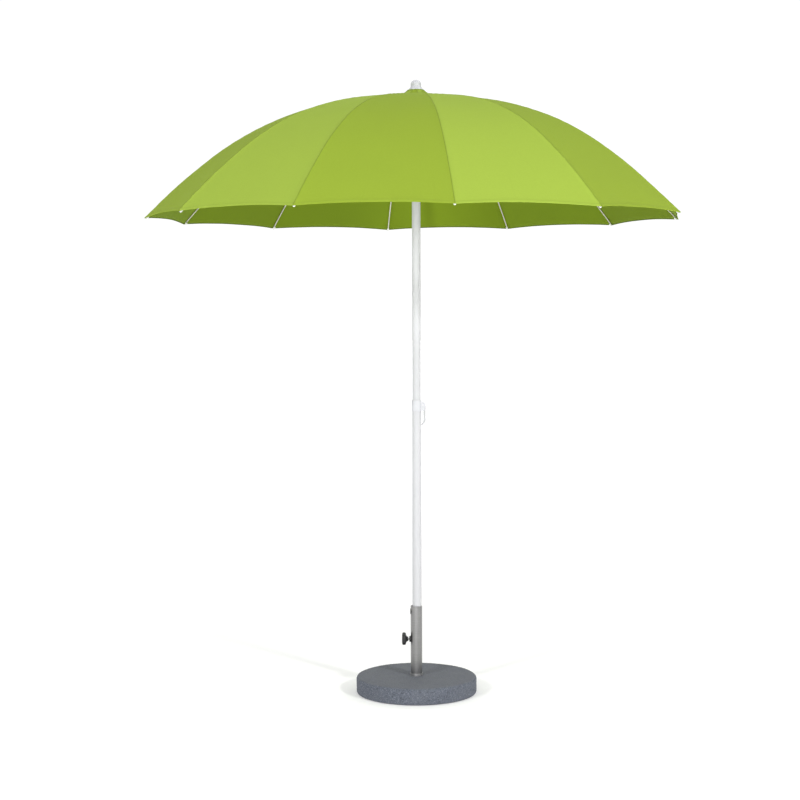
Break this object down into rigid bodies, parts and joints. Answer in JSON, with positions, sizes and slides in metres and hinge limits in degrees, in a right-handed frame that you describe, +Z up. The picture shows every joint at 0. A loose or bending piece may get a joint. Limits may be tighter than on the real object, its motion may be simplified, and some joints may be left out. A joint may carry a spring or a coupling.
{
  "type": "patio umbrella with base",
  "caption": "Patio umbrella: a domed round cloth canopy on folding ribs, a telescoping pole with a lever clamp, and a round slab stand with a clamp screw.",
  "frame": {"origin": "on the floor, under the pole's axis, which is the centre of the open canopy", "axes": "+Z up along the pole; the stand's clamp knob points to -X and the pole's height lever is on its +X side"},
  "size_m": [2.1836, 2.1836, 2.534],
  "materials": {
    "concrete": "matte",
    "rubber": "matte",
    "brushed_steel": "satin",
    "zinc_plate": "satin",
    "black_plastic": "matte",
    "nylon": "satin",
    "white_paint": "satin",
    "white_plastic": "satin",
    "spring_steel": "satin",
    "fibreglass": "satin",
    "strut_paint": "satin",
    "canopy_cloth": "matte"
  },
  "bodies": {
    "stand": {"base_slab": "concrete", "foot_pad_1": "rubber", "foot_pad_2": "rubber", "foot_pad_3": "rubber", "stand_tube": "brushed_steel", "tube_foot_ring": "zinc_plate", "base_bolt": "zinc_plate", "base_washer": "zinc_plate", "clamp_boss": "black_plastic", "blanking_plug": "black_plastic"},
    "thrust_pad": {"clamp_pad": "nylon"},
    "knob": {"clamp_knob": "black_plastic", "clamp_stud": "zinc_plate"},
    "lower_pole": {"lower_tube": "white_paint", "lower_end_plug": "black_plastic", "clamp_collar": "white_plastic", "lever_pin": "zinc_plate"},
    "lever": {"cam_lever": "white_plastic"},
    "upper_pole": {"upper_tube": "white_paint", "upper_guide_bush": "black_plastic", "crown_hub": "white_plastic", "finial": "white_plastic"},
    "catch": {"runner_catch": "spring_steel"},
    "slider": {"runner": "white_plastic"},
    "rib_arm_01": {"rib_01": "fibreglass", "canopy_sector_01": "canopy_cloth"},
    "rib_arm_02": {"rib_02": "fibreglass", "canopy_sector_02": "canopy_cloth"},
    "rib_arm_03": {"rib_03": "fibreglass", "canopy_sector_03": "canopy_cloth"},
    "rib_arm_04": {"rib_04": "fibreglass", "canopy_sector_04": "canopy_cloth"},
    "rib_arm_05": {"rib_05": "fibreglass", "canopy_sector_05": "canopy_cloth"},
    "rib_arm_06": {"rib_06": "fibreglass", "canopy_sector_06": "canopy_cloth"},
    "rib_arm_07": {"rib_07": "fibreglass", "canopy_sector_07": "canopy_cloth"},
    "rib_arm_08": {"rib_08": "fibreglass", "canopy_sector_08": "canopy_cloth"},
    "rib_arm_09": {"rib_09": "fibreglass", "canopy_sector_09": "canopy_cloth"},
    "rib_arm_10": {"rib_10": "fibreglass", "canopy_sector_10": "canopy_cloth"},
    "rib_arm_11": {"rib_11": "fibreglass", "canopy_sector_11": "canopy_cloth"},
    "rib_arm_12": {"rib_12": "fibreglass", "canopy_sector_12": "canopy_cloth"},
    "strut_arm_01": {"strut_01": "strut_paint"},
    "strut_arm_02": {"strut_02": "strut_paint"},
    "strut_arm_03": {"strut_03": "strut_paint"},
    "strut_arm_04": {"strut_04": "strut_paint"},
    "strut_arm_05": {"strut_05": "strut_paint"},
    "strut_arm_06": {"strut_06": "strut_paint"},
    "strut_arm_07": {"strut_07": "strut_paint"},
    "strut_arm_08": {"strut_08": "strut_paint"},
    "strut_arm_09": {"strut_09": "strut_paint"},
    "strut_arm_10": {"strut_10": "strut_paint"},
    "strut_arm_11": {"strut_11": "strut_paint"},
    "strut_arm_12": {"strut_12": "strut_paint"}
  },
  "joints": [
    {"name": "pole_lift", "type": "slide", "parent": "stand", "child": "lower_pole", "axis": [0, 0, 1], "range_m": [0, 0.3]},
    {"name": "knob_turn", "type": "hinge", "parent": "thrust_pad", "child": "knob", "pos_m": [-0.0365, 0, 0.223], "axis": [1, 0, 0], "range_deg": [-1440, 0]},
    {"name": "pad_advance", "type": "slide", "parent": "stand", "child": "thrust_pad", "axis": [1, 0, 0], "range_m": [-0.00501, 0]},
    {"name": "height_adjust", "type": "slide", "parent": "lower_pole", "child": "upper_pole", "axis": [0, 0, 1], "range_m": [-0.5, 0.1]},
    {"name": "lever_swing", "type": "hinge", "parent": "lower_pole", "child": "lever", "pos_m": [0.023, 0, 1.1995], "axis": [0, -1, 0], "range_deg": [0, 95]},
    {"name": "catch_press", "type": "slide", "parent": "upper_pole", "child": "catch", "axis": [0, 1, 0], "range_m": [0, 0.0042], "stiffness_N_per_m": 400, "springref_m": -0.002},
    {"name": "runner_slide", "type": "slide", "parent": "upper_pole", "child": "slider", "axis": [0, 0, -1], "range_m": [0, 0.82847]},
    {"name": "rib_hinge_01", "type": "hinge", "parent": "upper_pole", "child": "rib_arm_01", "pos_m": [0.00426, -0.03474, 2.46842], "axis": [0.9925, 0.1219, 0], "range_deg": [0, 62.01], "deforming": ["canopy_sector_01"]},
    {"name": "strut_hinge_01", "type": "hinge", "parent": "rib_arm_01", "child": "strut_arm_01", "pos_m": [0.07001, -0.57015, 2.35144], "axis": [0.9925, 0.1219, 0], "range_deg": [-124.02, 0]},
    {"name": "rib_hinge_02", "type": "hinge", "parent": "upper_pole", "child": "rib_arm_02", "pos_m": [0.02106, -0.02795, 2.46842], "axis": [0.7986, 0.6018, 0], "range_deg": [0, 62.01], "deforming": ["canopy_sector_02"]},
    {"name": "strut_hinge_02", "type": "hinge", "parent": "rib_arm_02", "child": "strut_arm_02", "pos_m": [0.3457, -0.45876, 2.35144], "axis": [0.7986, 0.6018, 0], "range_deg": [-124.02, 0]},
    {"name": "rib_hinge_03", "type": "hinge", "parent": "upper_pole", "child": "rib_arm_03", "pos_m": [0.03222, -0.01368, 2.46842], "axis": [0.3907, 0.9205, 0], "range_deg": [0, 62.01], "deforming": ["canopy_sector_03"]},
    {"name": "strut_hinge_03", "type": "hinge", "parent": "rib_arm_03", "child": "strut_arm_03", "pos_m": [0.52877, -0.22445, 2.35144], "axis": [0.3907, 0.9205, 0], "range_deg": [-124.02, 0]},
    {"name": "rib_hinge_04", "type": "hinge", "parent": "upper_pole", "child": "rib_arm_04", "pos_m": [0.03474, 0.00426, 2.46842], "axis": [-0.1219, 0.9925, 0], "range_deg": [0, 62.01], "deforming": ["canopy_sector_04"]},
    {"name": "strut_hinge_04", "type": "hinge", "parent": "rib_arm_04", "child": "strut_arm_04", "pos_m": [0.57015, 0.07001, 2.35144], "axis": [-0.1219, 0.9925, 0], "range_deg": [-124.02, 0]},
    {"name": "rib_hinge_05", "type": "hinge", "parent": "upper_pole", "child": "rib_arm_05", "pos_m": [0.02795, 0.02106, 2.46842], "axis": [-0.6018, 0.7986, 0], "range_deg": [0, 62.01], "deforming": ["canopy_sector_05"]},
    {"name": "strut_hinge_05", "type": "hinge", "parent": "rib_arm_05", "child": "strut_arm_05", "pos_m": [0.45876, 0.3457, 2.35144], "axis": [-0.6018, 0.7986, 0], "range_deg": [-124.02, 0]},
    {"name": "rib_hinge_06", "type": "hinge", "parent": "upper_pole", "child": "rib_arm_06", "pos_m": [0.01368, 0.03222, 2.46842], "axis": [-0.9205, 0.3907, 0], "range_deg": [0, 62.01], "deforming": ["canopy_sector_06"]},
    {"name": "strut_hinge_06", "type": "hinge", "parent": "rib_arm_06", "child": "strut_arm_06", "pos_m": [0.22445, 0.52877, 2.35144], "axis": [-0.9205, 0.3907, 0], "range_deg": [-124.02, 0]},
    {"name": "rib_hinge_07", "type": "hinge", "parent": "upper_pole", "child": "rib_arm_07", "pos_m": [-0.00426, 0.03474, 2.46842], "axis": [-0.9925, -0.1219, 0], "range_deg": [0, 62.01], "deforming": ["canopy_sector_07"]},
    {"name": "strut_hinge_07", "type": "hinge", "parent": "rib_arm_07", "child": "strut_arm_07", "pos_m": [-0.07001, 0.57015, 2.35144], "axis": [-0.9925, -0.1219, 0], "range_deg": [-124.02, 0]},
    {"name": "rib_hinge_08", "type": "hinge", "parent": "upper_pole", "child": "rib_arm_08", "pos_m": [-0.02106, 0.02795, 2.46842], "axis": [-0.7986, -0.6018, 0], "range_deg": [0, 62.01], "deforming": ["canopy_sector_08"]},
    {"name": "strut_hinge_08", "type": "hinge", "parent": "rib_arm_08", "child": "strut_arm_08", "pos_m": [-0.3457, 0.45876, 2.35144], "axis": [-0.7986, -0.6018, 0], "range_deg": [-124.02, 0]},
    {"name": "rib_hinge_09", "type": "hinge", "parent": "upper_pole", "child": "rib_arm_09", "pos_m": [-0.03222, 0.01368, 2.46842], "axis": [-0.3907, -0.9205, 0], "range_deg": [0, 62.01], "deforming": ["canopy_sector_09"]},
    {"name": "strut_hinge_09", "type": "hinge", "parent": "rib_arm_09", "child": "strut_arm_09", "pos_m": [-0.52877, 0.22445, 2.35144], "axis": [-0.3907, -0.9205, 0], "range_deg": [-124.02, 0]},
    {"name": "rib_hinge_10", "type": "hinge", "parent": "upper_pole", "child": "rib_arm_10", "pos_m": [-0.03474, -0.00426, 2.46842], "axis": [0.1219, -0.9925, 0], "range_deg": [0, 62.01], "deforming": ["canopy_sector_10"]},
    {"name": "strut_hinge_10", "type": "hinge", "parent": "rib_arm_10", "child": "strut_arm_10", "pos_m": [-0.57015, -0.07001, 2.35144], "axis": [0.1219, -0.9925, 0], "range_deg": [-124.02, 0]},
    {"name": "rib_hinge_11", "type": "hinge", "parent": "upper_pole", "child": "rib_arm_11", "pos_m": [-0.02795, -0.02106, 2.46842], "axis": [0.6018, -0.7986, 0], "range_deg": [0, 62.01], "deforming": ["canopy_sector_11"]},
    {"name": "strut_hinge_11", "type": "hinge", "parent": "rib_arm_11", "child": "strut_arm_11", "pos_m": [-0.45876, -0.3457, 2.35144], "axis": [0.6018, -0.7986, 0], "range_deg": [-124.02, 0]},
    {"name": "rib_hinge_12", "type": "hinge", "parent": "upper_pole", "child": "rib_arm_12", "pos_m": [-0.01368, -0.03222, 2.46842], "axis": [0.9205, -0.3907, 0], "range_deg": [0, 62.01], "deforming": ["canopy_sector_12"]},
    {"name": "strut_hinge_12", "type": "hinge", "parent": "rib_arm_12", "child": "strut_arm_12", "pos_m": [-0.22445, -0.52877, 2.35144], "axis": [0.9205, -0.3907, 0], "range_deg": [-124.02, 0]}
  ],
  "couplings": [
    {"joint": "pad_advance", "follows": "knob_turn", "m_per_rad": 0.00019894},
    {"joint": "rib_hinge_01", "follows": "runner_slide", "rad_per_m": 1.3061},
    {"joint": "rib_hinge_02", "follows": "runner_slide", "rad_per_m": 1.3061},
    {"joint": "rib_hinge_03", "follows": "runner_slide", "rad_per_m": 1.3061},
    {"joint": "rib_hinge_04", "follows": "runner_slide", "rad_per_m": 1.3061},
    {"joint": "rib_hinge_05", "follows": "runner_slide", "rad_per_m": 1.3061},
    {"joint": "rib_hinge_06", "follows": "runner_slide", "rad_per_m": 1.3061},
    {"joint": "rib_hinge_07", "follows": "runner_slide", "rad_per_m": 1.3061},
    {"joint": "rib_hinge_08", "follows": "runner_slide", "rad_per_m": 1.3061},
    {"joint": "rib_hinge_09", "follows": "runner_slide", "rad_per_m": 1.3061},
    {"joint": "rib_hinge_10", "follows": "runner_slide", "rad_per_m": 1.3061},
    {"joint": "rib_hinge_11", "follows": "runner_slide", "rad_per_m": 1.3061},
    {"joint": "rib_hinge_12", "follows": "runner_slide", "rad_per_m": 1.3061},
    {"joint": "strut_hinge_01", "follows": "runner_slide", "rad_per_m": -2.6123},
    {"joint": "strut_hinge_02", "follows": "runner_slide", "rad_per_m": -2.6123},
    {"joint": "strut_hinge_03", "follows": "runner_slide", "rad_per_m": -2.6123},
    {"joint": "strut_hinge_04", "follows": "runner_slide", "rad_per_m": -2.6123},
    {"joint": "strut_hinge_05", "follows": "runner_slide", "rad_per_m": -2.6123},
    {"joint": "strut_hinge_06", "follows": "runner_slide", "rad_per_m": -2.6123},
    {"joint": "strut_hinge_07", "follows": "runner_slide", "rad_per_m": -2.6123},
    {"joint": "strut_hinge_08", "follows": "runner_slide", "rad_per_m": -2.6123},
    {"joint": "strut_hinge_09", "follows": "runner_slide", "rad_per_m": -2.6123},
    {"joint": "strut_hinge_10", "follows": "runner_slide", "rad_per_m": -2.6123},
    {"joint": "strut_hinge_11", "follows": "runner_slide", "rad_per_m": -2.6123},
    {"joint": "strut_hinge_12", "follows": "runner_slide", "rad_per_m": -2.6123}
  ]
}
